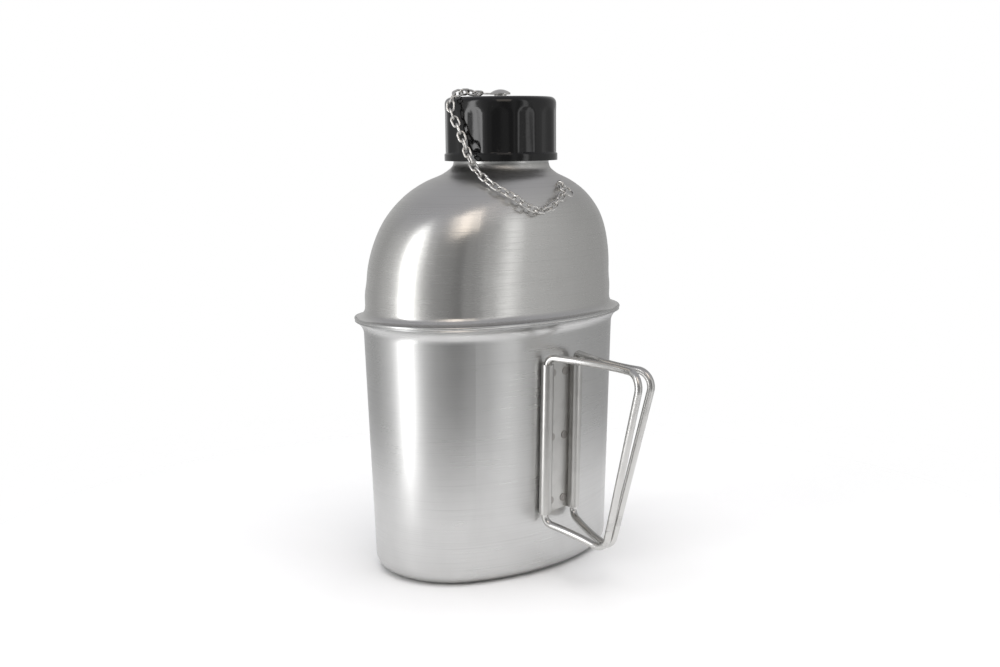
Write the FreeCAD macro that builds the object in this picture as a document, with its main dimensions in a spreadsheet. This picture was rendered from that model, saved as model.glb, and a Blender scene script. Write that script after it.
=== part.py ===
import FreeCAD, Part
import Sketcher
import math
import os

# Steel water canteen that nests in a steel drinking cup with two folding wire
# handles, a screw cap and a short safety chain.  Millimetres, +Z up.  The origin
# is on the ground plane, on the axis of the neck; X runs along the long side of
# the kidney-shaped plan and the handles are on the -Y face.

V = FreeCAD.Vector
doc = FreeCAD.newDocument("canteen_and_cup")

SIZES = [
    # plan of the cup wall at the height of its rim, drawn with six tangent arcs
    ("front_radius", 90.0), ("front_reach", 34.0), ("end_radius", 36.8), ("end_centre_x", 22.3),
    ("lobe_radius", 22.0), ("lobe_angle", 35.0), ("back_radius", 110.0),
    # cup
    ("cup_height", 107.0), ("wall", 0.6), ("wall_draft", 3.4), ("foot_radius", 7.0),
    ("flare_radius", 6.2), ("flare_height", 6.2),
    # canteen shells
    ("nest_gap", 0.4), ("floor_gap", 2.4), ("seat_gap", 0.05), ("seam_width", 3.0),
    ("bead_gap", 0.08), ("bead_land", 0.3), ("bead_round", 0.7), ("dome_rise", 55.75),
    ("lower_mouth_radius", 1.6),
    # neck and thread
    ("neck_radius", 20.0), ("neck_wall", 2.0), ("neck_length", 23.0), ("neck_spigot", 3.0), ("neck_flare", 3.0),
    ("dome_lean", 2.2),
    ("collar_fit", 0.05), ("thread_pitch", 4.0), ("thread_depth", 0.9), ("thread_base", 1.7),
    ("thread_crest", 0.6), ("thread_lift", 5.0), ("thread_turns", 2.5),
    # cap
    ("cap_height", 26.1), ("cap_wall", 2.0), ("cap_band", 0.4), ("thread_play", 0.4),
    ("cap_band_height", 3.0), ("cap_edge", 2.6), ("cap_roof", 2.4),
    ("rib_width", 3.2), ("scallop_depth", 0.7), ("scallop_top", 4.4), ("rib_turn", 6.0),
    ("gasket_play", 0.7), ("gasket_hole", 6.0), ("gasket_thick", 1.6),
    # rivet, washer and swivel tab
    ("rivet_head_radius", 4.4), ("rivet_head_height", 1.6), ("rivet_shank", 1.6),
    ("rivet_shoulder", 2.6),
    ("rivet_hole", 1.7), ("washer_radius", 4.6), ("washer_thick", 0.8), ("clench_height", 0.9),
    ("tab_thick", 0.5), ("tab_rise", 1.1), ("tab_radius", 4.2), ("tab_length", 10.0),
    ("tab_hole", 1.8), ("tab_end", 2.8), ("tab_direction", 178.0),
    # chain
    ("chain_wire", 0.9), ("link_length", 5.4), ("link_width", 3.7), ("link_pitch", 3.45),
    ("lug_lean", 50.0), ("lug_arch", 1.5), ("lug_foot", 0.34), ("lug_leg", 0.5), ("lug_wire", 0.5),
    ("ring_radius", 3.4), ("ring_wire", 0.5), ("ring_lift", 1.2), ("ring_slack", 0.1),
    # hinge bracket and handles
    ("bracket_foot", 27.5), ("bracket_length", 63.0), ("barrel_spacing", 16.6),
    ("barrel_wall", 1.05), ("plate_thick", 1.0), ("pin_fit", 0.05), ("wire_radius", 1.5),
    ("pin_length", 12.0), ("weld_radius", 1.7), ("weld_rise", 0.25), ("weld_spacing", 8.0),
    ("grip_top", 93.3), ("grip_foot", 23.7), ("grip_reach_top", 47.0), ("grip_reach_foot", 30.4),
    ("grip_corner", 6.0), ("grip_droop", 11.5), ("left_open", 115.0), ("right_open", 117.5),
]

sheet = doc.addObject("Spreadsheet::Sheet", "sizes")
for row, (name, value) in enumerate(SIZES, 1):
    sheet.set("A%d" % row, name)
    sheet.set("B%d" % row, str(value))
    sheet.setAlias("B%d" % row, name)

# Positions that follow from the sizes: the arc centres of the plan, the points
# where one arc runs into the next and the outward direction at each of them.
DERIVED = [
    ("front_centre_y", "front_radius - front_reach"),
    ("end_centre_y", "front_centre_y - sqrt((front_radius - end_radius)^2 - end_centre_x^2)"),
    ("lobe_centre_x", "end_centre_x + (end_radius - lobe_radius) * cos(lobe_angle * 1deg)"),
    ("lobe_centre_y", "end_centre_y + (end_radius - lobe_radius) * sin(lobe_angle * 1deg)"),
    ("back_centre_y", "lobe_centre_y + sqrt((back_radius + lobe_radius)^2 - lobe_centre_x^2)"),
    ("front_join_nx", "end_centre_x / (front_radius - end_radius)"),
    ("front_join_ny", "(end_centre_y - front_centre_y) / (front_radius - end_radius)"),
    ("front_join_x", "end_centre_x + end_radius * front_join_nx"),
    ("front_join_y", "end_centre_y + end_radius * front_join_ny"),
    ("end_join_nx", "cos(lobe_angle * 1deg)"),
    ("end_join_ny", "sin(lobe_angle * 1deg)"),
    ("end_join_x", "lobe_centre_x + lobe_radius * end_join_nx"),
    ("end_join_y", "lobe_centre_y + lobe_radius * end_join_ny"),
    ("back_join_nx", "-lobe_centre_x / (back_radius + lobe_radius)"),
    ("back_join_ny", "(back_centre_y - lobe_centre_y) / (back_radius + lobe_radius)"),
    ("back_join_x", "lobe_centre_x + lobe_radius * back_join_nx"),
    ("back_join_y", "lobe_centre_y + lobe_radius * back_join_ny"),
    ("draft_angle", "atan(wall_draft / cup_height) / 1deg"),
    ("canteen_inset", "wall + nest_gap"),
    ("seam_foot", "cup_height + seat_gap"),
    ("seam_mid", "seam_foot + wall"),
    ("seam_top", "seam_mid + wall"),
    ("mouth_radius", "canteen_inset + seam_width"),
    ("mouth_top", "seam_top + mouth_radius"),
    ("flare_sine", "flare_height / (flare_radius + wall)"),
    ("flare_cosine", "sqrt(1 - flare_sine^2)"),
    ("flare_foot", "cup_height - flare_height"),
    ("flare_inset", "wall_draft * flare_height / cup_height"),
    ("canteen_foot", "wall + floor_gap"),
    ("dome_top", "mouth_top + dome_rise"),
    ("neck_foot", "dome_top + neck_flare"),
    ("neck_top", "neck_foot + neck_length"),
    ("thread_start", "neck_foot + thread_lift"),
    ("cap_foot", "neck_top + gasket_thick + cap_roof - cap_height"),
    ("cap_bore", "neck_radius + thread_depth + thread_play"),
    ("cap_radius", "cap_bore + cap_wall"),
    ("cap_band_radius", "cap_radius + cap_band"),
    ("gasket_radius", "cap_bore - gasket_play"),
    ("barrel_radius", "wire_radius + pin_fit + barrel_wall"),
    ("roof_z", "cap_foot + cap_height"),
    ("roof_under", "roof_z - cap_roof"),
    ("gasket_foot", "roof_under - gasket_thick"),
    ("tab_foot", "roof_z + tab_rise"),
    ("barrel_y", "-(barrel_radius + pin_fit)"),
    ("bracket_top", "bracket_foot + bracket_length"),
]
for row, (name, formula) in enumerate(DERIVED, len(SIZES) + 1):
    sheet.set("A%d" % row, name)
    sheet.set("B%d" % row, "=" + formula)
    sheet.setAlias("B%d" % row, name)
doc.recompute()


def size(name):
    value = getattr(sheet, name)
    return float(getattr(value, "Value", value))


def bind(text):
    """Expression text with every name of the sheet pointed at the sheet."""
    out = []
    word = ""
    for letter in text + " ":
        if letter.isalnum() or letter == "_":
            word += letter
            continue
        out.append("sizes." + word if word in NAMES else word)
        out.append(letter)
        word = ""
    return "".join(out).strip()


NAMES = set(name for name, _ in SIZES + DERIVED)


def body(label):
    made = doc.addObject("PartDesign::Body", label)
    made.Label = label
    return made


def sketch_on(owner, role, label, lift=None):
    """Sketch on one of the body's own planes, lifted along the plane's normal."""
    made = owner.newObject("Sketcher::SketchObject", label)
    plane = [p for p in owner.Origin.OriginFeatures if p.Role == role][0]
    made.AttachmentSupport = [(plane, "")]
    made.MapMode = "FlatFace"
    if lift:
        made.setExpression("AttachmentOffset.Base.z", bind(lift))
    return made


def pin_point(sk, geo, point, x, y):
    """Hold one end of a piece of geometry at x, y from the origin."""
    for kind, formula in (("DistanceX", x), ("DistanceY", y)):
        at = sk.Geometry[geo].StartPoint if point == 1 else sk.Geometry[geo].EndPoint
        value = at.x if kind == "DistanceX" else at.y
        index = sk.addConstraint(Sketcher.Constraint(kind, -1, 1, geo, point, value))
        sk.setExpression("Constraints[%d]" % index, bind(formula))


def polygon(sk, corners):
    """Closed outline through corners given as pairs of formulas."""
    values = [(number(x), number(y)) for x, y in corners]
    count = len(corners)
    for i, (x, y) in enumerate(values):
        nx, ny = values[(i + 1) % count]
        sk.addGeometry(Part.LineSegment(V(x, y, 0), V(nx, ny, 0)), False)
    for i in range(count):
        sk.addConstraint(Sketcher.Constraint("Coincident", i, 2, (i + 1) % count, 1))
        pin_point(sk, i, 1, *corners[i])


def number(formula):
    """Value of a formula of sheet names, used to place geometry before it is held."""
    return float(sheet.evalExpression(bind(formula)))


def circle(sk, x, y, radius):
    geo = sk.addGeometry(Part.Circle(V(number(x), number(y), 0), V(0, 0, 1), number(radius)), False)
    index = sk.addConstraint(Sketcher.Constraint("Radius", geo, number(radius)))
    sk.setExpression("Constraints[%d]" % index, bind(radius))
    for kind, formula in (("DistanceX", x), ("DistanceY", y)):
        index = sk.addConstraint(Sketcher.Constraint(kind, -1, 1, geo, 3, number(formula)))
        sk.setExpression("Constraints[%d]" % index, bind(formula))
    return geo


def arc_points(centre, radius, start, end):
    middle = (start + end) / 2
    return [V(centre[0] + radius * math.cos(a), centre[1] + radius * math.sin(a), 0)
            for a in (start, middle, end)]


def plan_arcs(offset):
    """The seven arcs of the plan, from the middle of the front and round by +X."""
    cf = (0, size("front_centre_y"))
    ce = (size("end_centre_x"), size("end_centre_y"))
    cl = (size("lobe_centre_x"), size("lobe_centre_y"))
    cb = (0, size("back_centre_y"))
    a1 = math.atan2(size("front_join_ny"), size("front_join_nx"))
    a2 = math.radians(size("lobe_angle"))
    a3 = math.atan2(size("back_join_ny"), size("back_join_nx"))
    pi = math.pi
    return [
        arc_points(cf, size("front_radius") + offset, -pi / 2, a1),
        arc_points(ce, size("end_radius") + offset, a1, a2),
        arc_points(cl, size("lobe_radius") + offset, a2, a3),
        arc_points(cb, size("back_radius") - offset, a3 - pi, -a3),
        arc_points((-cl[0], cl[1]), size("lobe_radius") + offset, pi - a3, pi - a2),
        arc_points((-ce[0], ce[1]), size("end_radius") + offset, pi - a2, pi - a1),
        arc_points(cf, size("front_radius") + offset, -pi - a1, -pi / 2),
    ]


def plan_sketch(owner, label, offset, lift):
    """Kidney outline, every arc the same distance outside the plan."""
    sk = sketch_on(owner, "XY_Plane", label, lift)
    for a, b, c in plan_arcs(number(offset)):
        sk.addGeometry(Part.Arc(a, b, c), False)
    for i in range(7):
        follower = (i + 1) % 7
        sk.addConstraint(Sketcher.Constraint("Coincident", i, end_of(sk, i), follower, start_of(sk, follower)))
    radii = ["front_radius + (%s)", "end_radius + (%s)", "lobe_radius + (%s)", "back_radius - (%s)",
             "lobe_radius + (%s)", "end_radius + (%s)", "front_radius + (%s)"]
    for i, text in enumerate(radii):
        index = sk.addConstraint(Sketcher.Constraint("Radius", i, sk.Geometry[i].Radius))
        sk.setExpression("Constraints[%d]" % index, bind(text % offset))
    joins = [(0, "0", "-front_reach - (%s)" % offset)]
    for i, name in ((1, "front"), (2, "end"), (3, "back")):
        x = "%s_join_x + %s_join_nx * (%s)" % (name, name, offset)
        y = "%s_join_y + %s_join_ny * (%s)" % (name, name, offset)
        joins.append((i, x, y))
        joins.append((7 - i, "-(%s)" % x, y))
    for i, x, y in joins:
        pin_at_start(sk, i, x, y)
    return sk


def start_of(sk, geo):
    """Arcs always run anticlockwise, so the one that bends in starts at its far end."""
    return 2 if geo == 3 else 1


def end_of(sk, geo):
    return 1 if geo == 3 else 2


def pin_at_start(sk, geo, x, y):
    point = start_of(sk, geo)
    for kind, formula in (("DistanceX", x), ("DistanceY", y)):
        index = sk.addConstraint(Sketcher.Constraint(kind, -1, 1, geo, point, number(formula)))
        sk.setExpression("Constraints[%d]" % index, bind(formula))


def outline(sk, corners):
    """Closed outline.  Each corner is x, y and the radius of the arc that leaves it,
    None for a straight side; a positive radius bends anticlockwise."""
    count = len(corners)
    spots = [V(number(x), number(y), 0) for x, y, _ in corners]
    ends = []
    for i, (_, _, radius) in enumerate(corners):
        a = spots[i]
        b = spots[(i + 1) % count]
        if radius is None:
            sk.addGeometry(Part.LineSegment(a, b), False)
            ends.append((1, 2))
            continue
        r = number(radius[1:] if radius[0] == "-" else radius)
        turn = -1 if radius[0] == "-" else 1
        half = (b - a).Length / 2
        side = V(a.y - b.y, b.x - a.x, 0).normalize() * turn
        centre = (a + b) / 2 + side * math.sqrt(r * r - half * half)
        middle = centre - side * r
        sk.addGeometry(Part.Arc(a, middle, b), False)
        ends.append((1, 2) if turn > 0 else (2, 1))
    for i in range(count):
        sk.addConstraint(Sketcher.Constraint("Coincident", i, ends[i][1], (i + 1) % count, ends[(i + 1) % count][0]))
    for i, (x, y, radius) in enumerate(corners):
        for kind, formula in (("DistanceX", x), ("DistanceY", y)):
            index = sk.addConstraint(Sketcher.Constraint(kind, -1, 1, i, ends[i][0], number(formula)))
            sk.setExpression("Constraints[%d]" % index, bind(formula))
        if radius is not None:
            text = radius[1:] if radius[0] == "-" else radius
            index = sk.addConstraint(Sketcher.Constraint("Radius", i, number(text)))
            sk.setExpression("Constraints[%d]" % index, bind(text))


def ring_wall(owner, label, corners, lift="0"):
    """Wall of constant section carried round the plan."""
    spine = plan_sketch(owner, label + "_path", "0", lift)
    profile = sketch_on(owner, "YZ_Plane", label + "_section")
    outline(profile, corners)
    doc.recompute()
    pipe = owner.newObject("PartDesign::AdditivePipe", label)
    pipe.Profile = profile
    pipe.Spine = (spine, [])
    doc.recompute()
    return pipe


def pad(owner, label, sk, length, backwards=False):
    made = owner.newObject("PartDesign::Pad", label)
    made.Profile = sk
    made.setExpression("Length", bind(length))
    made.Reversed = backwards
    doc.recompute()
    return made


def revolve(owner, label, corners):
    """Solid of revolution about the vertical axis, from an outline in radius and height."""
    sk = sketch_on(owner, "XZ_Plane", label + "_section")
    outline(sk, corners)
    doc.recompute()
    made = owner.newObject("PartDesign::Revolution", label)
    made.Profile = sk
    made.ReferenceAxis = (sk, ["V_Axis"])
    made.Angle = 360
    doc.recompute()
    return made


def at_front(offset):
    """Sketch distance of the front wall, that far outside the plan."""
    return "-(front_reach + (%s))" % offset


def cup_body():
    owner = body("cup_body")
    low = "-wall_draft * (1 - foot_radius / cup_height)"
    ring_wall(owner, "cup_wall", [
        (at_front("-wall_draft - foot_radius"), "0", "-foot_radius"),
        (at_front(low), "foot_radius", None),
        (at_front("-flare_inset"), "flare_foot", "flare_radius"),
        (at_front("flare_radius * (1 - flare_cosine) - flare_inset"), "cup_height - wall * flare_sine", None),
        (at_front("(flare_radius + wall) * (1 - flare_cosine) - wall - flare_inset"), "cup_height",
         "-(flare_radius + wall)"),
        (at_front("-flare_inset - wall"), "flare_foot", None),
        (at_front(low + " - wall"), "foot_radius", "foot_radius - wall"),
        (at_front("-wall_draft - foot_radius"), "wall", None),
    ])
    floor = plan_sketch(owner, "cup_floor_outline", "-wall_draft - foot_radius", "0")
    doc.recompute()
    pad(owner, "cup_floor", floor, "wall")
    return owner


def lower_shell():
    owner = body("lower_shell")
    foot = "-wall_draft * (1 - canteen_foot / cup_height) - canteen_inset - foot_radius"
    low = "-wall_draft * (1 - (canteen_foot + foot_radius) / cup_height) - canteen_inset"
    ring_wall(owner, "lower_wall", [
        (at_front(foot), "canteen_foot", "-foot_radius"),
        (at_front(low), "canteen_foot + foot_radius", None),
        (at_front("-canteen_inset"), "seam_foot - lower_mouth_radius", "lower_mouth_radius"),
        (at_front("-canteen_inset + lower_mouth_radius"), "seam_foot", None),
        (at_front("seam_width"), "seam_foot", None),
        (at_front("seam_width"), "seam_mid", None),
        (at_front("-canteen_inset + lower_mouth_radius"), "seam_mid", "-(lower_mouth_radius + wall)"),
        (at_front("-canteen_inset - wall"), "seam_foot - lower_mouth_radius", None),
        (at_front(low + " - wall"), "canteen_foot + foot_radius", "foot_radius - wall"),
        (at_front(foot), "canteen_foot + wall", None),
    ])
    floor = plan_sketch(owner, "lower_floor_outline", foot, "canteen_foot")
    doc.recompute()
    pad(owner, "lower_floor", floor, "wall")
    return owner


def seam_bead():
    owner = body("seam_bead")
    ring_wall(owner, "bead", [
        (at_front("seam_width + bead_gap"), "seam_foot", None),
        (at_front("seam_width + bead_gap"), "seam_top", None),
        (at_front("seam_width + bead_land"), "seam_top", "bead_round"),
        (at_front("seam_width + bead_land"), "seam_foot", None),
    ])
    return owner


# Rise of the dome from the seam to the neck, as fractions of its height, and how
# far out the wall still is there, as fractions of the way from neck to seam.
DOME = [(0.0, 1.0), (0.14, 0.992), (0.29, 0.972), (0.42, 0.936), (0.53, 0.885), (0.63, 0.816),
        (0.71, 0.735), (0.78, 0.640), (0.84, 0.536), (0.89, 0.420), (0.93, 0.300)]
NECK_SWEEP = (0.25, 0.42, 0.60, 0.80, 1.0)
NECK_SWEEP_POWER = 1.85
SPOTS = 9


def segment_points(offset):
    """Points along every arc of the plan, arc by arc, with the same count on each."""
    out = []
    for a, b, c in plan_arcs(offset):
        curve = Part.Arc(a, b, c)
        step = (curve.LastParameter - curve.FirstParameter) / (SPOTS - 1)
        out.append([curve.value(curve.FirstParameter + step * i) for i in range(SPOTS)])
        if (out[-1][0] - a).Length > 1e-6:
            out[-1].reverse()
    return out


def level_wire(rows):
    """Smooth closed outline through one row of points for every arc of the plan."""
    made = []
    for i, row in enumerate(rows):
        before = rows[i - 1]
        after = rows[(i + 1) % len(rows)]
        first = (row[1] - before[-2]).normalize()
        last = (after[1] - row[-2]).normalize()
        curve = Part.BSplineCurve()
        curve.interpolate(Points=row, InitialTangent=first, FinalTangent=last)
        made.append(curve.toShape())
    return Part.Wire(made)


def mouth_wire(offset, height):
    """Level section of the flared mouth, the same distance outside the plan all round."""
    return level_wire([[V(p.x, p.y, height) for p in row] for row in segment_points(offset)])


def dome_wire(spread, height, inset):
    """Level section of the dome: between the neck circle and the plan outline."""
    neck = size("neck_radius") - inset
    up = (height - size("mouth_top")) / (size("dome_top") - size("mouth_top"))
    up = min(max(up, 0), 1)
    lean = 4 * size("dome_lean") * up ** 2 * (1 - up ** 2)
    rows = []
    for row in segment_points(-size("canteen_inset") - inset):
        level = []
        for p in row:
            reach = math.hypot(p.x, p.y)
            far = neck + (reach - neck) * spread
            level.append(V(p.x / reach * far, p.y / reach * far - lean, height))
        rows.append(level)
    return level_wire(rows)


def dome_levels():
    """Height and spread of every section, with a concave sweep into the neck at the top."""
    foot = size("mouth_top")
    levels = [(foot + (size("dome_top") - foot) * up, out) for up, out in DOME]
    start, spread = levels[-1]
    for part in NECK_SWEEP:
        levels.append((start + (size("neck_foot") - start) * part,
                       spread * (1 - part) ** NECK_SWEEP_POWER))
    return levels


MOUTH_STEPS = 5


def skin_wires(inset):
    """Sections of the upper shell's skin from its rim to the neck, moved inward by inset."""
    wires = []
    radius = size("mouth_radius") + inset
    for i in range(MOUTH_STEPS):
        a = math.pi / 2 * (1 - i / MOUTH_STEPS)
        offset = size("seam_width") - radius * math.cos(a)
        wires.append(mouth_wire(offset, size("mouth_top") - radius * math.sin(a)))
    levels = dome_levels()
    reach = size("end_centre_x") + size("end_radius") - size("neck_radius")
    for i, (z, out) in enumerate(levels):
        if i in (0, len(levels) - 1):
            wires.append(dome_wire(out, z, inset))
            continue
        dz = levels[i + 1][0] - levels[i - 1][0]
        dr = reach * (levels[i - 1][1] - levels[i + 1][1])
        slant = math.hypot(dz, dr)
        wires.append(dome_wire(out, z - inset * dr / slant, inset * dz / slant))
    return wires


def upper_shell():
    """Sheet metal dome with a flared rim below and a round hole for the neck above."""
    outer = skin_wires(0)
    inner = skin_wires(size("wall"))
    faces = Part.makeLoft(outer, False, False).Faces + Part.makeLoft(inner, False, False).Faces
    faces += Part.makeLoft([inner[0], outer[0]], False, True).Faces
    hole = Part.Wire(inner[-1].Edges)
    hole.reverse()
    faces.append(Part.Face([outer[-1], hole]))
    skin = Part.makeShell(faces)
    skin.sewShape()
    solid = Part.makeSolid(skin)
    if solid.Volume < 0:
        solid.reverse()
    made = doc.addObject("Part::Feature", "upper_shell")
    made.Shape = solid
    made.Label = "upper_shell"
    return made


def helix_thread(owner, label, corners, pitch, turns):
    """Ridge wound about the vertical axis, fused to what the body already holds."""
    sk = sketch_on(owner, "XZ_Plane", label + "_section")
    outline(sk, corners)
    doc.recompute()
    made = owner.newObject("PartDesign::AdditiveHelix", label)
    made.Profile = sk
    made.ReferenceAxis = (sk, ["V_Axis"])
    made.Mode = 0
    made.setExpression("Pitch", bind(pitch))
    made.setExpression("Height", bind(pitch + " * " + turns))
    doc.recompute()
    return made


def thread_corners(root, crest, foot):
    """Blunt tooth from the root radius to the crest radius, its middle at foot."""
    return [
        (root, foot + " - thread_base / 2", None),
        (crest, foot + " - thread_crest / 2", None),
        (crest, foot + " + thread_crest / 2", None),
        (root, foot + " + thread_base / 2", None),
    ]


def neck_ring():
    owner = body("neck_ring")
    inner = "neck_radius - neck_wall"
    spigot = "neck_radius - wall - collar_fit"
    revolve(owner, "neck_tube", [
        (inner, "neck_foot - neck_spigot", None),
        (spigot, "neck_foot - neck_spigot", None),
        (spigot, "neck_foot", None),
        ("neck_radius", "neck_foot", None),
        ("neck_radius", "neck_top", None),
        (inner, "neck_top", None),
    ])
    helix_thread(owner, "neck_thread", thread_corners(
        "neck_radius - 0.2 * neck_wall", "neck_radius + thread_depth", "thread_start"),
        "thread_pitch", "thread_turns")
    return owner


def cap_shell():
    owner = body("cap_shell")
    revolve(owner, "cap_cup", [
        ("cap_bore", "cap_foot", None),
        ("cap_band_radius", "cap_foot", None),
        ("cap_band_radius", "cap_foot + cap_band_height", None),
        ("cap_radius", "cap_foot + cap_band_height", None),
        ("cap_radius", "roof_z - cap_edge", "cap_edge"),
        ("cap_radius - cap_edge", "roof_z", None),
        ("rivet_hole", "roof_z", None),
        ("rivet_hole", "roof_under", None),
        ("cap_bore", "roof_under", None),
    ])
    scallops(owner)
    helix_thread(owner, "cap_thread", thread_corners(
        "cap_bore + 0.2 * neck_wall", "neck_radius + collar_fit * 7", "thread_start + thread_pitch / 2"),
        "thread_pitch", "thread_turns")
    return owner


RIBS = 13


def scallops(owner):
    """Shallow hollows round the side that leave the grip ribs standing."""
    sk = sketch_on(owner, "XY_Plane", "scallop_outline", "cap_foot + cap_band_height")
    turn = "(rib_turn * 1deg)"
    pitch = "(2 * cap_radius * sin(180deg / %d) - rib_width)" % RIBS
    radius = "((%s / 2)^2 + scallop_depth^2) / (2 * scallop_depth)" % pitch
    reach = "(cap_radius - scallop_depth + %s)" % radius
    circle(sk, reach + " * cos" + turn, reach + " * sin" + turn, radius)
    doc.recompute()
    cut = owner.newObject("PartDesign::Pocket", "scallop")
    cut.Profile = sk
    cut.Reversed = True
    cut.setExpression("Length", bind("cap_height - cap_band_height - scallop_top"))
    doc.recompute()
    pattern = owner.newObject("PartDesign::PolarPattern", "scallops")
    pattern.Originals = [cut]
    pattern.Axis = ([p for p in owner.Origin.OriginFeatures if p.Role == "Z_Axis"][0], [""])
    pattern.Angle = 360
    pattern.Occurrences = RIBS
    owner.Tip = pattern
    doc.recompute()


def cap_gasket():
    owner = body("cap_gasket")
    revolve(owner, "gasket_ring", [
        ("gasket_hole", "gasket_foot", None),
        ("gasket_radius", "gasket_foot", None),
        ("gasket_radius", "roof_under", None),
        ("gasket_hole", "roof_under", None),
    ])
    return owner


def rivet_washer():
    owner = body("rivet_washer")
    revolve(owner, "washer_ring", [
        ("rivet_hole", "roof_under - washer_thick", None),
        ("washer_radius", "roof_under - washer_thick", None),
        ("washer_radius", "roof_under", None),
        ("rivet_hole", "roof_under", None),
    ])
    return owner


def cap_rivet():
    owner = body("cap_rivet")
    head = "(rivet_head_radius^2 + rivet_head_height^2) / (2 * rivet_head_height)"
    under = "roof_under - washer_thick"
    revolve(owner, "rivet_turned", [
        ("0", under + " - clench_height", None),
        ("rivet_shank * 1.7", under + " - clench_height", None),
        ("rivet_shank * 1.9", under, None),
        ("rivet_shank", under, None),
        ("rivet_shank", "roof_z", None),
        ("rivet_shoulder", "roof_z", None),
        ("rivet_shoulder", "tab_foot", None),
        ("rivet_shank", "tab_foot", None),
        ("rivet_shank", "tab_foot + tab_thick", None),
        ("rivet_head_radius", "tab_foot + tab_thick", head),
        ("0", "tab_foot + tab_thick + rivet_head_height", None),
    ])
    return owner


def swivel_tab():
    """Flat strap that turns on the rivet and holds the end ring of the chain."""
    owner = body("swivel_tab")
    sk = sketch_on(owner, "XY_Plane", "tab_outline", "tab_foot")
    circle(sk, "0", "0", "tab_radius")
    circle(sk, "0", "0", "rivet_hole")
    doc.recompute()
    pad(owner, "tab_eye", sk, "tab_thick")
    arm = sketch_on(owner, "XY_Plane", "tab_arm_outline", "tab_foot")
    ca = "cos(tab_direction * 1deg)"
    sa = "sin(tab_direction * 1deg)"
    root = "(tab_radius * 0.8)"
    half = "tab_end"
    polygon(arm, [
        ("%s * %s - %s * %s" % (root, ca, half, sa), "%s * %s + %s * %s" % (root, sa, half, ca)),
        ("tab_length * %s - %s * %s" % (ca, half, sa), "tab_length * %s + %s * %s" % (sa, half, ca)),
        ("tab_length * %s + %s * %s" % (ca, half, sa), "tab_length * %s - %s * %s" % (sa, half, ca)),
        ("%s * %s + %s * %s" % (root, ca, half, sa), "%s * %s - %s * %s" % (root, sa, half, ca)),
    ])
    doc.recompute()
    pad(owner, "tab_arm", arm, "tab_thick")
    end = sketch_on(owner, "XY_Plane", "tab_end_outline", "tab_foot")
    circle(end, "tab_length * " + ca, "tab_length * " + sa, half)
    doc.recompute()
    pad(owner, "tab_end", end, "tab_thick")
    hole = sketch_on(owner, "XY_Plane", "tab_hole_outline", "tab_foot")
    circle(hole, "tab_length * " + ca, "tab_length * " + sa, "tab_hole")
    doc.recompute()
    cut = owner.newObject("PartDesign::Pocket", "tab_hole_cut")
    cut.Profile = hole
    cut.Type = 1
    cut.Midplane = True
    doc.recompute()
    return owner


def on_wall(made):
    """Lean a piece back with the draft of the cup's front wall."""
    made.Placement = FreeCAD.Placement(V(0, 0, 0), FreeCAD.Rotation(V(1, 0, 0), 1))
    made.setExpression("Placement.Base.y", bind("wall_draft - front_reach"))
    made.setExpression("Placement.Rotation.Angle", bind("draft_angle * 1deg"))
    doc.recompute()
    return made


def hinge_bracket():
    owner = body("hinge_bracket")
    plate = sketch_on(owner, "XY_Plane", "plate_outline", "bracket_foot")
    half = "barrel_spacing / 2"
    polygon(plate, [("-" + half, "-plate_thick"), (half, "-plate_thick"), (half, "0"), ("-" + half, "0")])
    doc.recompute()
    pad(owner, "plate", plate, "bracket_length")
    for side, x in (("left", "-" + half), ("right", half)):
        barrel = sketch_on(owner, "XY_Plane", side + "_barrel_outline", "bracket_foot")
        circle(barrel, x, "barrel_y", "barrel_radius")
        doc.recompute()
        pad(owner, side + "_barrel", barrel, "bracket_length")
    for side, x in (("left", "-" + half), ("right", half)):
        bore = sketch_on(owner, "XY_Plane", side + "_bore_outline", "bracket_foot")
        circle(bore, x, "barrel_y", "wire_radius + pin_fit")
        doc.recompute()
        cut = owner.newObject("PartDesign::Pocket", side + "_bore")
        cut.Profile = bore
        cut.Reversed = True
        cut.setExpression("Length", bind("bracket_length"))
        doc.recompute()
    return on_wall(owner)


WELD_ROWS = (0.07, 0.5, 0.93)


def spot_welds():
    owner = body("spot_welds")
    sk = sketch_on(owner, "XZ_Plane", "weld_outline", "plate_thick")
    for row in WELD_ROWS:
        for side in ("-", ""):
            circle(sk, side + "weld_spacing / 2 * 0.9", "bracket_foot + bracket_length * %s" % row, "weld_radius")
    doc.recompute()
    pad(owner, "weld_buttons", sk, "weld_rise")
    return on_wall(owner)


def round_corner(before, corner, after, radius):
    """Start, middle and end of a round bend of the given radius at a corner."""
    back = (before - corner).normalize()
    ahead = (after - corner).normalize()
    half = back.getAngle(ahead) / 2
    inward = (back + ahead).normalize()
    middle = corner + inward * (radius / math.sin(half) - radius)
    reach = radius / math.tan(half)
    return corner + back * reach, middle, corner + ahead * reach


def wall_track():
    """Arcs, seen from above, that a folded handle follows round the cup: for each the
    distance along the handle where it begins, its centre, radius and first angle."""
    wall_radius = size("front_radius") - size("wall_draft") / 2
    end_radius = size("end_radius") - size("wall_draft") / 2
    axis = V(size("barrel_spacing") / 2, size("barrel_y"), 0)
    bend = 2 * size("wire_radius")
    radius = math.hypot(axis.x, wall_radius - axis.y)
    heading = math.asin((axis.x + bend / 2) / radius)
    turn = math.asin(size("end_centre_x") / (wall_radius - end_radius))
    start = axis + V(math.cos(heading), math.sin(heading), 0) * bend
    centre = start + V(-math.sin(heading), math.cos(heading), 0) * radius
    run = radius * (turn - heading)
    small = end_radius + radius - wall_radius
    second = centre + V(math.sin(turn), -math.cos(turn), 0) * (radius - small)
    return axis, heading, [(bend, centre, radius, heading), (bend + run, second, small, turn)]


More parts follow.
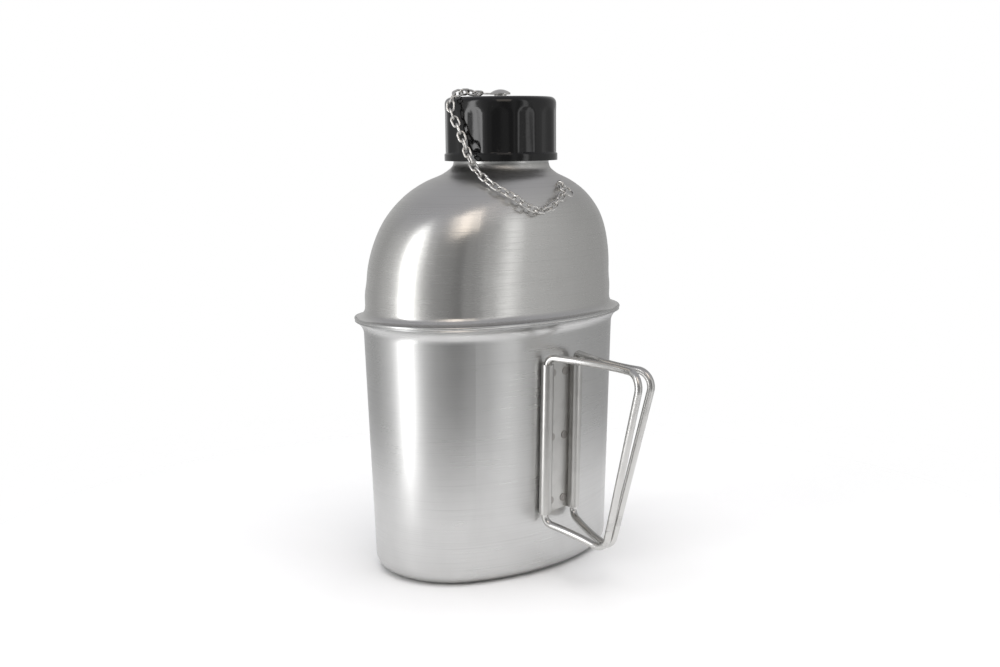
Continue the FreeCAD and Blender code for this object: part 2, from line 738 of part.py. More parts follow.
def on_track(reach, height):
    """Point on the track that far along the handle, and the direction it runs there."""
    _, _, arcs = wall_track()
    begin, centre, radius, first = arcs[1] if reach > arcs[1][0] else arcs[0]
    a = first + (reach - begin) / radius
    spot = V(centre.x + radius * math.sin(a), centre.y - radius * math.cos(a), height)
    return spot, V(math.cos(a), math.sin(a), 0)


def leg_tilt(heading, height, droop):
    """Turn that slopes a leg down away from the barrel, about a level line across it."""
    centre = wall_track()[0] + V(0, 0, height)
    across = V(math.sin(heading), -math.cos(heading), 0)
    turn = FreeCAD.Rotation(across, -droop)
    return FreeCAD.Placement(centre - turn.multVec(centre), turn)


def leg(reach, height):
    """Ends and middles of the arcs of a level leg from the bend out to the given reach."""
    _, _, arcs = wall_track()
    cuts = [arcs[0][0]] + [b for b, _, _, _ in arcs[1:] if b < reach] + [reach]
    return [[on_track(x, height)[0] for x in (a, (a + b) / 2, b)] for a, b in zip(cuts, cuts[1:])]


def handle_spine():
    """Middle line of a folded handle, from inside the barrel's foot to inside its top."""
    axis, heading, _ = wall_track()
    bend = 2 * size("wire_radius")
    ahead = V(math.cos(heading), math.sin(heading), 0) * bend
    foot = axis + V(0, 0, size("grip_foot"))
    top = axis + V(0, 0, size("grip_top"))
    low_pin = axis + V(0, 0, size("bracket_foot") + size("pin_length"))
    high_pin = axis + V(0, 0, size("bracket_foot") + size("bracket_length") - size("pin_length"))
    up = V(0, 0, bend)
    corner = size("grip_corner")
    low_reach = size("grip_reach_foot") - corner
    high_reach = size("grip_reach_top") - corner
    tilt = leg_tilt(heading, size("grip_foot"), size("grip_droop"))
    low, low_way = on_track(low_reach, size("grip_foot"))
    low, low_way = tilt.multVec(low), tilt.Rotation.multVec(low_way)
    high, high_way = on_track(high_reach, size("grip_top"))
    low_corner = low + low_way * corner
    high_corner = high + high_way * corner
    for _ in range(60):
        grip = (high_corner - low_corner).normalize()
        low_corner = low + low_way * (corner / math.tan(low_way.negative().getAngle(grip) / 2))
        high_corner = high + high_way * (corner / math.tan(high_way.getAngle(grip) / 2))
    low_bend = round_corner(low, low_corner, high_corner, corner)
    high_bend = round_corner(low_corner, high_corner, high, corner)
    low_ahead = tilt.Rotation.multVec(ahead)
    low_turn = bend * math.tan(up.getAngle(low_ahead) / 2)
    arcs = [round_corner(foot + up, foot, foot + low_ahead, low_turn)]
    arcs += [[tilt.multVec(p) for p in ends] for ends in leg(low_reach, size("grip_foot"))]
    arcs += [low_bend, high_bend]
    arcs += reversed(leg(high_reach, size("grip_top")))
    arcs += [round_corner(top + ahead, top, high_pin, bend)]
    edges = [Part.Arc(*ends).toShape() for ends in arcs]
    grip = Part.makeLine(low_bend[2], high_bend[0])
    edges = [Part.makeLine(low_pin, foot + up)] + edges + [grip, Part.makeLine(top - up, high_pin)]
    return Part.Wire(Part.__sortEdges__(edges))


def wire_handle(label, side, open_angle):
    """Wire loop that lies round the cup's wall when folded, drawn swung open.
    side is -1 for the left handle and 1 for the right one."""
    spine = handle_spine()
    spine.rotate(wall_track()[0], V(0, 0, 1), -open_angle)
    if side < 0:
        spine = spine.mirror(V(0, 0, 0), V(1, 0, 0))
    made = doc.addObject("Part::Feature", label)
    made.Shape = rod_along(spine, size("wire_radius"))
    made.Label = label
    return on_wall(made)


# Middle line of the chain as it hangs: from the tab, over the edge of the cap,
# down its side, round the front of the shoulder and up to the ring on the lug.
# Heights count from the top of the dome.  Links and wires are Part sweeps, because
# each is one round section along one path and has no sketch of its own.
CHAIN_ROUTE = [
    (-12.24, 0.43, 31.35), (-16.0, 0.7, 31.7), (-19.6, 0.9, 31.85), (-22.8, 1.0, 31.2),
    (-25.2, 1.0, 29.4), (-26.5, 0.8, 26.6), (-26.7, 0.0, 23.4), (-26.4, -1.9, 20),
    (-26.1, -4.1, 16), (-25.9, -6.2, 12), (-25.8, -8.4, 7.4), (-25.8, -11.2, 3.2),
    (-25.8, -14.8, -0.2), (-25.2, -18.8, -3), (-24.2, -22.6, -5.4), (-22.3, -25.9, -7.5),
    (-19.8, -28.7, -9.6), (-16.9, -31.3, -12.2), (-13.4, -33.3, -14.5), (-9.0, -34.5, -15.3),
    (-4.6, -35.0, -14.3), (-0.8, -34.8, -12.4), (1.9, -33.9, -10.7), (4.97, -32.26, -9.1),
]
LUG_SPOT = (7.7, -26.8, -6.9)


def on_shoulder(x, y, up):
    """Place given by its height above the top of the dome."""
    return V(x, y, size("dome_top") + up)


def rod_along(path, radius):
    edge = path.Edges[0]
    start = edge.valueAt(edge.FirstParameter)
    along = edge.tangentAt(edge.FirstParameter)
    rod = Part.Wire([Part.makeCircle(radius, start, along)])
    return path.makePipeShell([rod], True, False)


def link_shape():
    """One chain link lying in XY, its length along X, its middle at the origin."""
    radius = size("chain_wire") / 2
    half = (size("link_width") - size("chain_wire")) / 2
    straight = (size("link_length") - size("link_width")) / 2
    path = Part.Wire([
        Part.makeLine(V(-straight, -half, 0), V(straight, -half, 0)),
        Part.Arc(V(straight, -half, 0), V(straight + half, 0, 0), V(straight, half, 0)).toShape(),
        Part.makeLine(V(straight, half, 0), V(-straight, half, 0)),
        Part.Arc(V(-straight, half, 0), V(-straight - half, 0, 0), V(-straight, -half, 0)).toShape(),
    ])
    return rod_along(path, radius)


def chain_links():
    route = Part.BSplineCurve()
    route.interpolate(Points=[on_shoulder(*p) for p in CHAIN_ROUTE])
    count = int(route.length() / size("link_pitch") + 0.5)
    pattern = link_shape()
    made = []
    for i in range(count + 1):
        along = route.parameterAtDistance(route.length() * i / count, route.FirstParameter)
        spot = route.value(along)
        ahead = V(*route.tangent(along)[0])
        out = V(spot.x, spot.y, 0).normalize()
        if i < 4:
            out = V(0, 0, 1)
        side = ahead.cross(out).normalize()
        out = side.cross(ahead).normalize()
        roll = math.radians(45 if i % 2 else -45)
        if i == 0:
            roll = math.radians(-56)
        if i == count:
            roll = math.radians(-25)
        wide = out * math.cos(roll) + side * math.sin(roll)
        turn = FreeCAD.Rotation(ahead, wide, ahead.cross(wide), "XYZ")
        link = doc.addObject("Part::Feature", "chain_link_%02d" % (i + 1))
        link.Shape = pattern
        link.Label = link.Name
        link.Placement = FreeCAD.Placement(spot, turn)
        made.append(link)
    return made


def lug_frame():
    """Spot on the shoulder with its outward, level and downhill directions."""
    spot = on_shoulder(*LUG_SPOT)
    level = V(-spot.y, spot.x, 0).normalize()
    radial = V(spot.x, spot.y, 0).normalize()
    lean = math.radians(size("lug_lean"))
    out = radial * math.cos(lean) + V(0, 0, math.sin(lean))
    down = radial * math.sin(lean) - V(0, 0, math.cos(lean))
    return spot, out, level, down


def chain_lug():
    """Staple of wire welded to the shoulder, an arch for the ring to pass through."""
    spot, out, _, down = lug_frame()
    arch = size("lug_arch")
    foot = size("lug_foot")
    path = Part.Wire([
        Part.makeLine(spot - down * arch + out * foot, spot - down * arch + out * (foot + size("lug_leg"))),
        Part.Arc(spot - down * arch + out * (foot + size("lug_leg")),
                 spot + out * (foot + size("lug_leg") + arch),
                 spot + down * arch + out * (foot + size("lug_leg"))).toShape(),
        Part.makeLine(spot + down * arch + out * (foot + size("lug_leg")), spot + down * arch + out * foot),
    ])
    made = doc.addObject("Part::Feature", "chain_lug")
    made.Shape = rod_along(path, size("lug_wire"))
    made.Label = "chain_lug"
    return made


def lug_ring():
    spot, out, level, down = lug_frame()
    middle = spot + out * size("ring_lift") + down * (size("ring_radius") + size("ring_slack"))
    ring = Part.makeTorus(size("ring_radius"), size("ring_wire"), middle, out)
    made = doc.addObject("Part::Feature", "lug_ring")
    made.Shape = ring
    made.Label = "lug_ring"
    return made


def build():
    return [
        cup_body(), hinge_bracket(), spot_welds(),
        wire_handle("left_handle", -1, size("left_open")),
        wire_handle("right_handle", 1, size("right_open")),
        lower_shell(), upper_shell(), seam_bead(), neck_ring(), chain_lug(), lug_ring(),
        cap_shell(), cap_gasket(), cap_rivet(), rivet_washer(), swivel_tab(),
    ] + chain_links()


def write(nodes):
    doc.recompute()
    for thing in doc.Objects:
        for bad in ("Invalid", "Error"):
            if bad in thing.State:
                raise RuntimeError("%s is %s" % (thing.Label, bad))
    os.makedirs("parts", exist_ok=True)
    for node in nodes:
        shape = node.Shape
        if shape.isNull() or not shape.isValid():
            raise RuntimeError("%s has no valid shape" % node.Label)
        shape.exportStep("parts/%s.step" % node.Label)


write(build())
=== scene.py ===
import math

import bmesh
import bpy
from mathutils import Matrix, Vector


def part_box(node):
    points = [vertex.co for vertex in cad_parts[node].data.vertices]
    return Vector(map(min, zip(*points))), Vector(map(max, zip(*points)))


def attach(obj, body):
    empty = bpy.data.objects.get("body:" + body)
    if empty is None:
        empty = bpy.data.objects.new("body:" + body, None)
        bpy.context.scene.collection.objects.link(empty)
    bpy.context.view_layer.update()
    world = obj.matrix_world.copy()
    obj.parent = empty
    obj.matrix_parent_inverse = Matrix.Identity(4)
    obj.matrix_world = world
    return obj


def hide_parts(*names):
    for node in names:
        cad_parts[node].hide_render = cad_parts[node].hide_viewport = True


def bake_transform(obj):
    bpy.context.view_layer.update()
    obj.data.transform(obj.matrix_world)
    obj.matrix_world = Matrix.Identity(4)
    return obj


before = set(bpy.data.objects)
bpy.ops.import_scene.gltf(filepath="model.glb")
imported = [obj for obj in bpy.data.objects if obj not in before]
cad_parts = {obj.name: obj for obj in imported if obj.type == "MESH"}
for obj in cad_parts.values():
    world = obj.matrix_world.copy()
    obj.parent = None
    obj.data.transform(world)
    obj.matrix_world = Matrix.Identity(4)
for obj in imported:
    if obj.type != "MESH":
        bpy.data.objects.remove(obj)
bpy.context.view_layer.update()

MM = 0.001


# ---------------------------------------------------------------- shader maths


class Value:
    """A number or colour made by a node, worked with as in ordinary arithmetic."""

    def __init__(self, maker, socket):
        self.maker = maker
        self.socket = socket

    def math(self, operation, *values):
        return self.maker.node("ShaderNodeMath", {"operation": operation}, values)

    def __add__(self, other):
        return self.math("ADD", self, other)

    __radd__ = __add__

    def __mul__(self, other):
        return self.math("MULTIPLY", self, other)

    __rmul__ = __mul__

    def __sub__(self, other):
        return self.math("SUBTRACT", self, other)

    def __rsub__(self, other):
        return self.math("SUBTRACT", other, self)

    def __truediv__(self, other):
        return self.math("DIVIDE", self, other)


class NodeMaker:
    """Makes the nodes of one material or of the studio."""

    def __init__(self, owner):
        owner.use_nodes = True
        self.tree = owner.node_tree

    def node(self, kind, settings, inputs, out=0):
        """Add a node of a kind: its settings first, then its sockets by name or in order."""
        made = self.tree.nodes.new(kind)
        for name, value in settings.items():
            if name == "stops":
                self.set_stops(made.color_ramp, value)
            else:
                setattr(made, name, value)
        pairs = inputs.items() if isinstance(inputs, dict) else enumerate(inputs)
        for name, value in pairs:
            self.feed(made.inputs[name], value)
        return Value(self, made.outputs[out])

    def set_stops(self, ramp, stops):
        ramp.interpolation = "EASE"
        while len(ramp.elements) < len(stops):
            ramp.elements.new(0.5)
        for element, (position, grey) in zip(ramp.elements, stops):
            element.position = position
            element.color = (grey, grey, grey, 1)

    def feed(self, socket, value):
        if isinstance(value, Value):
            self.tree.links.new(value.socket, socket)
        else:
            socket.default_value = value

    def step(self, value, low, high):
        """0 below low, 1 above high and a smooth step between them."""
        return self.node("ShaderNodeMapRange", {"interpolation_type": "SMOOTHSTEP"},
                         {"Value": value, "From Min": low, "From Max": high})

    def blend(self, amount, start, end):
        """Colour start where amount is 0 and colour end where it is 1."""
        start, end = (c if isinstance(c, Value) else (*c, 1) for c in (start, end))
        return self.node("ShaderNodeMix", {"data_type": "RGBA"}, {0: amount, 6: start, 7: end}, 2)


class Finish(NodeMaker):
    """One material whose patterns are measured in the object's own millimetres."""

    def __init__(self, name):
        self.material = bpy.data.materials.new(name)
        super().__init__(self.material)
        self.shader = self.tree.nodes["Principled BSDF"]
        self.place = self.node("ShaderNodeTexCoord", {}, [], "Object")

    def noise(self, level, upright, detail=2.0, roughness=0.5, distortion=0.0):
        """Cloudy pattern of 0 to 1 with so many lumps a millimetre, level and upright."""
        where = self.node("ShaderNodeMapping", {},
                          {"Vector": self.place, "Scale": (level / MM, level / MM, upright / MM)})
        return self.node("ShaderNodeTexNoise", {},
                         {"Vector": where, "Scale": 1.0, "Detail": detail, "Roughness": roughness,
                          "Distortion": distortion}, "Fac")

    def bump(self, height, depth, under=None):
        """Surface pushed about by a height of 0 to 1 over a depth in millimetres."""
        inputs = {"Height": height, "Distance": depth * MM, "Strength": 1.0}
        if under is not None:
            inputs["Normal"] = under
        return self.node("ShaderNodeBump", {}, inputs, "Normal")

    def height_above_floor(self):
        """Millimetres above the ground plane."""
        return self.node("ShaderNodeSeparateXYZ", {}, [self.place], "Z") / MM

    def distance_from_middle(self):
        """Millimetres from the point where the neck's axis meets the ground plane."""
        return self.node("ShaderNodeVectorMath", {"operation": "LENGTH"}, [self.place], "Value") / MM

    def set(self, **values):
        for name, value in values.items():
            socket = name.replace("_", " ").title().replace("Ior", "IOR")
            self.feed(self.shader.inputs[socket], value)
        return self.material


def toned(colour, factor):
    """The colour made lighter or darker by a factor."""
    return tuple(channel * factor for channel in colour)


# ---------------------------------------------------------------- finishes


# The brushing turns dull towards the neck: it starts to at the foot and is dullest at
# the top, in millimetres above the floor.
NECK_BLAST_FOOT = 148
NECK_BLAST_TOP = 166

# Depths of relief in millimetres.
BRUSHING_DEPTH = 0.003
RIPPLE_DEPTH = 0.12
DIE_LINE_DEPTH = 0.002
PLATE_GRAIN_DEPTH = 0.012
PEEL_DEPTH = 0.03
RUBBER_GRAIN_DEPTH = 0.03

# How far brushing draws a highlight out across its lines: 0 is not at all, 1 the most.
BRUSHING_PULL = 0.45


def brushed_sheet(name, tone, rough):
    """Stainless sheet, brushed level round the wall, with soft ripples from pressing."""
    f = Finish(name)
    fine = f.noise(0.05, 9.0, 3.0, 0.65)
    broad = f.noise(0.02, 1.6, 3.0, 0.6)
    ripple = f.noise(0.03, 0.03, 1.0, 0.4)
    smudge = f.noise(0.045, 0.03, 3.0, 0.6, 0.4)
    scratch = f.step(f.noise(0.09, 3.2, 1.0), 0.63, 0.74)
    lines = f.noise(0.015, 2.2, 4.0, 0.7)
    blasted = f.step(f.height_above_floor(), NECK_BLAST_FOOT, NECK_BLAST_TOP)

    colour = f.blend(fine * 0.5 + broad * 0.35, tone, toned(tone, 1.12))
    colour = f.blend(f.step(smudge, 0.45, 0.75) * 0.22, colour, toned(tone, 0.86))
    colour = f.blend(f.step(lines, 0.5, 0.8) * 0.45, colour, toned(tone, 0.78))
    normal = f.bump(ripple, RIPPLE_DEPTH)
    normal = f.bump(fine * 0.7 + broad * 0.5 - scratch * 0.4, BRUSHING_DEPTH, normal)
    roughness = rough + (lines - 0.5) * 0.16 + (smudge - 0.5) * 0.10 + scratch * 0.06 + blasted * 0.14
    return f.set(base_color=colour, metallic=1.0, normal=normal, anisotropic=BRUSHING_PULL,
                 roughness=roughness)


def drawn_wire(name, tone, rough):
    """Bright drawn wire with faint die lines, rubs and dull patches."""
    f = Finish(name)
    speck = f.noise(1.1, 1.1, 3.0, 0.6)
    die_lines = f.noise(1.2, 0.06)
    dull = f.step(f.noise(0.11, 0.11), 0.5, 0.7)
    return f.set(base_color=f.blend(dull * 0.5, tone, toned(tone, 0.8)), metallic=1.0,
                 normal=f.bump(die_lines * 0.6 + speck * 0.4, DIE_LINE_DEPTH),
                 roughness=rough + speck * 0.08 + dull * 0.10)


def pressed_plate(name, tone, rough):
    """Plain thick sheet, a little grained by rolling, duller than the wire."""
    f = Finish(name)
    grain = f.noise(0.5, 6.0, 3.0, 0.6)
    patch = f.noise(0.15, 0.15, 3.0, 0.55)
    return f.set(base_color=f.blend(f.step(patch, 0.4, 0.7) * 0.5, tone, toned(tone, 0.82)),
                 metallic=1.0, normal=f.bump(grain * 0.8 + patch * 0.2, PLATE_GRAIN_DEPTH),
                 roughness=rough + grain * 0.12)


def moulded_plastic(name):
    """Glossy black moulding with a faint orange peel and fine handling scratches."""
    f = Finish(name)
    peel = f.noise(0.35, 0.35)
    scuff = f.step(f.noise(0.9, 3.6), 0.62, 0.72)
    dust = f.step(f.noise(3.0, 3.0), 0.68, 0.8)
    black, worn = (0.002, 0.002, 0.0022), (0.02, 0.02, 0.02)
    return f.set(base_color=f.blend(dust * 0.35 + scuff * 0.15, black, worn),
                 normal=f.bump(peel * 0.7 - scuff * 0.2, PEEL_DEPTH), specular_ior_level=0.5,
                 roughness=0.06 + peel * 0.06 + scuff * 0.12 + dust * 0.2)


def soft_rubber(name):
    """Dull grey rubber, a little mottled."""
    f = Finish(name)
    grain = f.noise(2.0, 2.0, 3.0)
    return f.set(base_color=f.blend(grain, (0.16, 0.16, 0.15), (0.24, 0.23, 0.22)),
                 roughness=0.6 + grain * 0.2, normal=f.bump(grain, RUBBER_GRAIN_DEPTH))


CANTEEN_STEEL = brushed_sheet("canteen_brushed_steel", (0.60, 0.595, 0.58), 0.24)
CUP_STEEL = brushed_sheet("cup_brushed_steel", (0.57, 0.57, 0.565), 0.30)
RIM_STEEL = brushed_sheet("seam_steel", (0.56, 0.56, 0.55), 0.26)
HANDLE_WIRE = drawn_wire("handle_wire", (0.62, 0.615, 0.60), 0.18)
CHAIN_WIRE = drawn_wire("chain_wire", (0.66, 0.65, 0.63), 0.20)
BRACKET_PLATE = pressed_plate("bracket_plate", (0.55, 0.545, 0.53), 0.24)
WELD_STEEL = pressed_plate("weld_nuggets", (0.36, 0.345, 0.33), 0.28)
NECK_STEEL = pressed_plate("neck_steel", (0.58, 0.58, 0.57), 0.26)
CAP_PLASTIC = moulded_plastic("cap_plastic")
GASKET_RUBBER = soft_rubber("gasket_rubber")

# Every other piece is chain wire: the links, the lug and its ring, the tab and the rivet.
FINISH_OF = {
    "cup_body": CUP_STEEL,
    "lower_shell": CANTEEN_STEEL,
    "upper_shell": CANTEEN_STEEL,
    "seam_bead": RIM_STEEL,
    "neck_ring": NECK_STEEL,
    "hinge_bracket": BRACKET_PLATE,
    "spot_welds": WELD_STEEL,
    "left_handle": HANDLE_WIRE,
    "right_handle": HANDLE_WIRE,
    "rivet_washer": NECK_STEEL,
    "cap_shell": CAP_PLASTIC,
    "cap_gasket": GASKET_RUBBER,
}


def finish_frame():
    """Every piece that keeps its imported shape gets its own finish."""
    for name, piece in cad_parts.items():
        piece.data.materials.clear()
        piece.data.materials.append(FINISH_OF.get(name, CHAIN_WIRE))


# ---------------------------------------------------------------- ribbed cap


RIBS = 13
COLUMNS = 8  # upright lines of points for each rib and its scallop
SCALLOP_BEARING = 6.0  # degrees, the middle of one scallop

# Millimetres.
SCALLOP_DIPS = (0.70, 0.62, 0.36)  # from a scallop's middle line outwards
BAND_PROUD = 0.4
BAND_HEIGHT = 3.0
BAND_STEP = 0.15
SCALLOP_START = 0.25  # above the band
SCALLOP_RUN_IN = 0.3
SCALLOP_RUN_OUT = (2.4, 1.1)  # lines below the scallop's end, where it turns shallow
SCALLOP_END = 4.4  # below the crown
CAP_WALL = 2.4
CROWN_ROUND = 2.6
EDGE_ROUND = 0.22
HAIR = 0.01  # nearer than this to the foot or the crown is on it
SAME_LEVEL = 0.05  # points nearer than this in height are on one line

FACING_DOWN = -0.9  # upward part of a face's normal
AT_THE_WALL = 0.98  # share of the wall's radius

# Share of the full dip left on the shallow line, and how much less on each line outwards.
SHALLOW_SHARE = 0.8
SHALLOW_FALL = 0.3

# Degrees between two faces: rounded above the first, shaded smooth below the others.
SHARP_EDGE = 18
SMOOTH_CAP = 35
SMOOTH_CHAIN = 40


def select_line(mesh, level, column=None):
    """Select the wall's points at a height, all round or on one column of each scallop."""
    bpy.ops.mesh.select_all(action="DESELECT")
    shape = bmesh.from_edit_mesh(mesh)
    step = 360 / RIBS / COLUMNS
    for point in shape.verts:
        bearing = math.degrees(math.atan2(point.co.y, point.co.x)) - SCALLOP_BEARING
        found = round(bearing / step) % COLUMNS
        found = min(found, COLUMNS - found)
        if abs(point.co.z - level) < SAME_LEVEL * MM and column in (None, found):
            point.select = True
    shape.select_flush_mode()
    bmesh.update_edit_mesh(mesh)


def swell(factor):
    """Move the selected points out from the cap's axis, or in towards it."""
    bpy.ops.transform.resize(value=(factor, factor, 1), center_override=(0, 0, 0))


def ribbed_cap():
    """Screw cap: thirteen narrow ribs between wide scallops, a plain foot band and a bore."""
    low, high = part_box("cap_shell")
    band = (high.x - low.x) / 2
    wall = band - BAND_PROUD * MM
    foot, crown = low.z, high.z
    bpy.ops.object.select_all(action="DESELECT")
    bpy.ops.mesh.primitive_cylinder_add(
        vertices=RIBS * COLUMNS, radius=wall, depth=crown - foot,
        location=(0, 0, (foot + crown) / 2), rotation=(0, 0, math.radians(SCALLOP_BEARING)))
    cap = bpy.context.object
    cap.name = "ribbed_cap"
    bpy.ops.object.transform_apply(location=True, rotation=True, scale=True)
    bpy.ops.object.mode_set(mode="EDIT")

    band_top = foot + BAND_HEIGHT * MM
    band_edge = band_top - BAND_STEP * MM
    start = band_top + SCALLOP_START * MM
    full = start + SCALLOP_RUN_IN * MM
    end = crown - SCALLOP_END * MM
    turning, shallow = (end - below * MM for below in SCALLOP_RUN_OUT)
    for level in (band_edge, band_top, start, full, turning, shallow, end):
        bpy.ops.mesh.select_all(action="SELECT")
        bpy.ops.mesh.bisect(plane_co=(0, 0, level), plane_no=(0, 0, 1))
    for column, dip in enumerate(SCALLOP_DIPS):
        left = SHALLOW_SHARE - SHALLOW_FALL * column
        for level, share in ((full, 1), (turning, 1), (shallow, left)):
            select_line(cap.data, level, column)
            swell((wall - dip * share * MM) / wall)
    for level in (foot, band_edge):
        select_line(cap.data, level)
        swell(band / wall)
    sink_bore(cap, foot, crown)
    round_crown(cap, wall, crown)
    bpy.ops.object.mode_set(mode="OBJECT")
    soften(cap)
    cap.data.materials.append(CAP_PLASTIC)
    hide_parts("cap_shell")
    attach(cap, "cap")


def sink_bore(cap, foot, crown):
    """Push the foot's face up inside, so that a wall and a roof are left."""
    bpy.ops.mesh.select_all(action="DESELECT")
    bpy.ops.mesh.select_mode(type="FACE")
    shape = bmesh.from_edit_mesh(cap.data)
    for face in shape.faces:
        face.select = face.normal.z < FACING_DOWN and face.calc_center_median().z < foot + HAIR * MM
    bmesh.update_edit_mesh(cap.data)
    bpy.ops.mesh.inset(thickness=CAP_WALL * MM)
    depth = crown - foot - CAP_WALL * MM
    bpy.ops.mesh.extrude_region_move(TRANSFORM_OT_translate={"value": (0, 0, depth)})


def round_crown(cap, wall, crown):
    """Round the edge between the wall and the roof."""
    bpy.ops.mesh.select_all(action="DESELECT")
    bpy.ops.mesh.select_mode(type="EDGE")
    shape = bmesh.from_edit_mesh(cap.data)
    for edge in shape.edges:
        edge.select = all(point.co.z > crown - HAIR * MM
                          and point.co.xy.length > wall * AT_THE_WALL for point in edge.verts)
    bmesh.update_edit_mesh(cap.data)
    bpy.ops.mesh.bevel(offset=CROWN_ROUND * MM, segments=6, profile=0.5)
    bpy.ops.mesh.select_all(action="SELECT")
    bpy.ops.mesh.normals_make_consistent(inside=False)


def soften(piece):
    """Round the sharp edges left by moulding and shade the rest smooth."""
    bpy.context.view_layer.objects.active = piece
    rounding = piece.modifiers.new("rounding", "BEVEL")
    rounding.width = EDGE_ROUND * MM
    rounding.segments = 2
    rounding.limit_method = "ANGLE"
    rounding.angle_limit = math.radians(SHARP_EDGE)
    bpy.ops.object.modifier_apply(modifier="rounding")
    bpy.ops.object.shade_smooth_by_angle(angle=math.radians(SMOOTH_CAP))


# ---------------------------------------------------------------- chain


DOUBLES = 0.002  # millimetres between points that are one


def hanging_chain():
    """All the links as one piece that stretches up from the canteen."""
    links = [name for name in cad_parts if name.startswith("chain_link")]
    bpy.ops.object.select_all(action="DESELECT")
    copies = []
    for name in links:
        copy = bpy.data.objects.new(name + "_seen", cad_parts[name].data.copy())
        bpy.context.scene.collection.objects.link(copy)
        copy.select_set(True)
        copies.append(copy)
    chain = copies[0]
    bpy.context.view_layer.objects.active = chain
    bpy.ops.object.join()
    bpy.ops.object.mode_set(mode="EDIT")
    bpy.ops.mesh.select_all(action="SELECT")
    bpy.ops.mesh.remove_doubles(threshold=DOUBLES * MM)
    bpy.ops.object.mode_set(mode="OBJECT")
    bpy.ops.object.shade_smooth_by_angle(angle=math.radians(SMOOTH_CHAIN))
    chain.name = "hanging_chain"
    chain.data.materials.clear()
    chain.data.materials.append(CHAIN_WIRE)
    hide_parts(*links)
    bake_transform(chain)


# ---------------------------------------------------------------- floor, light, camera


FLOOR_RADIUS = 0.36  # metres
FLOOR_DROP = 0.2  # millimetres under the object, so that the two don't touch
FLOOR_FADE = (90, 330)  # millimetres from the middle, where it starts to fade and is gone


def floor():
    """Round pale floor that fades out into the backdrop."""
    bpy.ops.mesh.primitive_circle_add(vertices=96, radius=FLOOR_RADIUS, fill_type="NGON",
                                      location=(0, 0, -FLOOR_DROP * MM))
    ground = bpy.context.object
    ground.name = "floor"
    f = Finish("pale_floor")
    mottle = f.noise(0.02, 0.02)
    fade = f.step(f.distance_from_middle(), *FLOOR_FADE)
    ground.data.materials.append(
        f.set(base_color=f.blend(mottle, (0.90, 0.90, 0.90), (0.93, 0.93, 0.93)), roughness=0.6,
              alpha=1 - fade))


# Brightness of the studio all round the object, by bearing in degrees from its front
# towards its right: strip lamp, dark cloth, narrow lamp, bounce boards and white sweep.
STUDIO = [
    (-180, 0.50), (-160, 0.42), (-138, 0.55), (-124, 0.66), (-114, 0.85), (-106, 4.60), (-98, 4.60),
    (-91, 0.85), (-75, 0.50), (-62, 0.34), (-50, 0.32), (-38, 0.20), (-26, 0.20), (-14, 0.40),
    (-4, 0.27), (2, 0.33), (8, 1.50), (13, 1.50), (18, 0.46), (28, 0.60), (44, 0.54), (70, 0.46),
    (92, 0.42), (120, 0.50), (150, 0.62), (180, 0.50),
]
STUDIO_PEAK = 4.6
BACKDROP = 1.0
CEILING = (0.10, 0.10, 0.105)  # share of the peak
CEILING_STARTS, CEILING_FULL = 0.25, 0.85  # upward part of a view's direction


def studio_world():
    """Soft light from every side, with brighter and darker stretches round the walls."""
    world = bpy.data.worlds.new("studio")
    bpy.context.scene.world = world
    s = NodeMaker(world)
    towards = s.node("ShaderNodeTexCoord", {}, [], "Generated")
    x, y, z = (s.node("ShaderNodeSeparateXYZ", {}, [towards], axis) for axis in "XYZ")
    turn = s.node("ShaderNodeMapRange", {},
                  {"Value": x.math("ARCTAN2", x, y * -1), "From Min": -math.pi, "From Max": math.pi})
    stops = [((bearing + 180) / 360, level / STUDIO_PEAK) for bearing, level in STUDIO]
    walls = s.node("ShaderNodeValToRGB", {"stops": stops}, [turn])
    room = s.blend(s.step(z, CEILING_STARTS, CEILING_FULL), walls, CEILING)
    lit = s.node("ShaderNodeBackground", {}, {"Color": room, "Strength": STUDIO_PEAK})
    plain = s.node("ShaderNodeBackground", {}, {"Color": (1, 1, 1, 1), "Strength": BACKDROP})
    seen = s.node("ShaderNodeLightPath", {}, [], "Is Camera Ray")
    s.feed(s.tree.nodes["World Output"].inputs["Surface"],
           s.node("ShaderNodeMixShader", {}, [seen, lit, plain]))


AIM_HEIGHT = 0.1


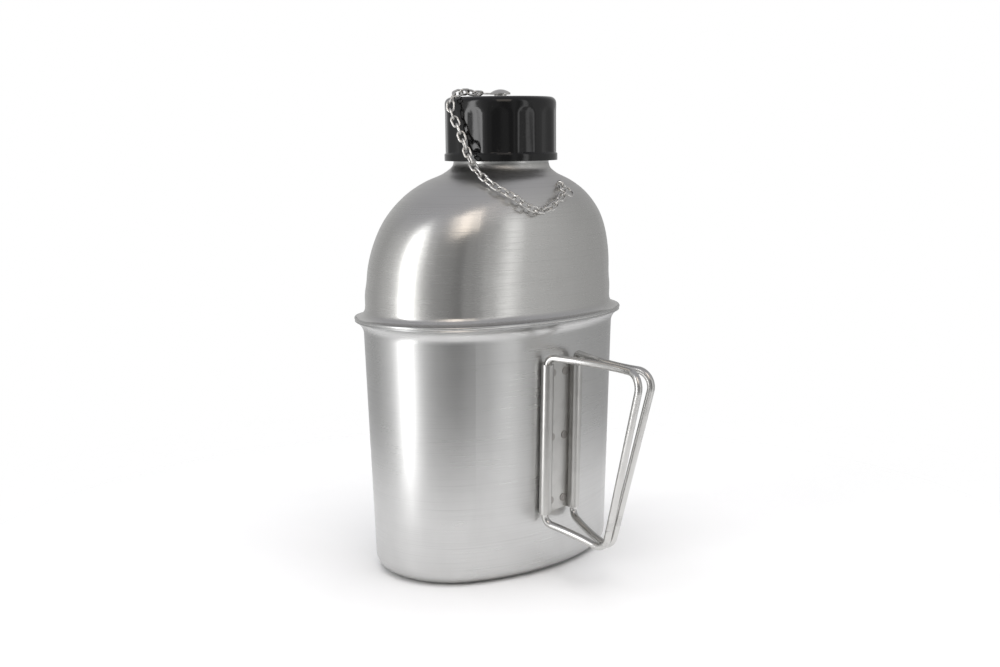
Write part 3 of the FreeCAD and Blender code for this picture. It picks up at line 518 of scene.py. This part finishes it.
def soft_light(name, azimuth, height, distance, width, tall, power, colour=(1, 1, 1), seen=False):
    """Rectangular lamp that faces the middle of the object from that side."""
    a = math.radians(azimuth)
    spot = Vector((math.sin(a) * distance, -math.cos(a) * distance, height))
    data = bpy.data.lights.new(name, "AREA")
    data.shape = "RECTANGLE"
    data.size = width
    data.size_y = tall
    data.energy = power
    data.color = colour
    lamp = bpy.data.objects.new(name, data)
    lamp.location = spot
    lamp.rotation_euler = (Vector((0, 0, AIM_HEIGHT)) - spot).to_track_quat("-Z", "Y").to_euler()
    lamp.visible_glossy = seen
    bpy.context.scene.collection.objects.link(lamp)


def lighting():
    studio_world()
    soft_light("top_bank", azimuth=-20, height=2.2, distance=0.4, width=2.4, tall=2.4, power=44)
    soft_light("warm_window", azimuth=-34, height=0.82, distance=0.85, width=0.50, tall=0.62,
               power=1.25, colour=(1, 0.88, 0.76), seen=True)
    bpy.context.scene.view_settings.view_transform = "Standard"


# Degrees, then metres, then millimetres of lens and sensor.
CAMERA_AZIMUTH = -42.07
CAMERA_PITCH = 8.75
CAMERA_ROLL = 0.58
CAMERA_DISTANCE = 0.5527
CAMERA_HEIGHT = 0.1833
CAMERA_SIDESTEP = -0.00116
NEAREST_SEEN = 0.01
LENS_LENGTH = 46.94
SENSOR_WIDTH = 36


def camera():
    """Camera a little above the middle, tilted down and turned a little on its own axis."""
    a, p, r = (math.radians(x) for x in (CAMERA_AZIMUTH, CAMERA_PITCH, CAMERA_ROLL))
    back = Vector((math.sin(a), -math.cos(a), 0))
    right = Vector((math.cos(a), math.sin(a), 0))
    ahead = -back * math.cos(p) - Vector((0, 0, 1)) * math.sin(p)
    up = right.cross(ahead)
    side = right * math.cos(r) - up * math.sin(r)
    top = up * math.cos(r) + right * math.sin(r)
    data = bpy.data.cameras.new("camera")
    data.lens = LENS_LENGTH
    data.sensor_width = SENSOR_WIDTH
    data.clip_start = NEAREST_SEEN
    eye = bpy.data.objects.new("camera", data)
    turn = Matrix((side, top, -ahead)).transposed().to_4x4()
    place = back * CAMERA_DISTANCE + right * CAMERA_SIDESTEP + Vector((0, 0, CAMERA_HEIGHT))
    eye.matrix_world = Matrix.Translation(place) @ turn
    bpy.context.scene.collection.objects.link(eye)
    bpy.context.scene.camera = eye


finish_frame()
ribbed_cap()
hanging_chain()
floor()
lighting()
camera()
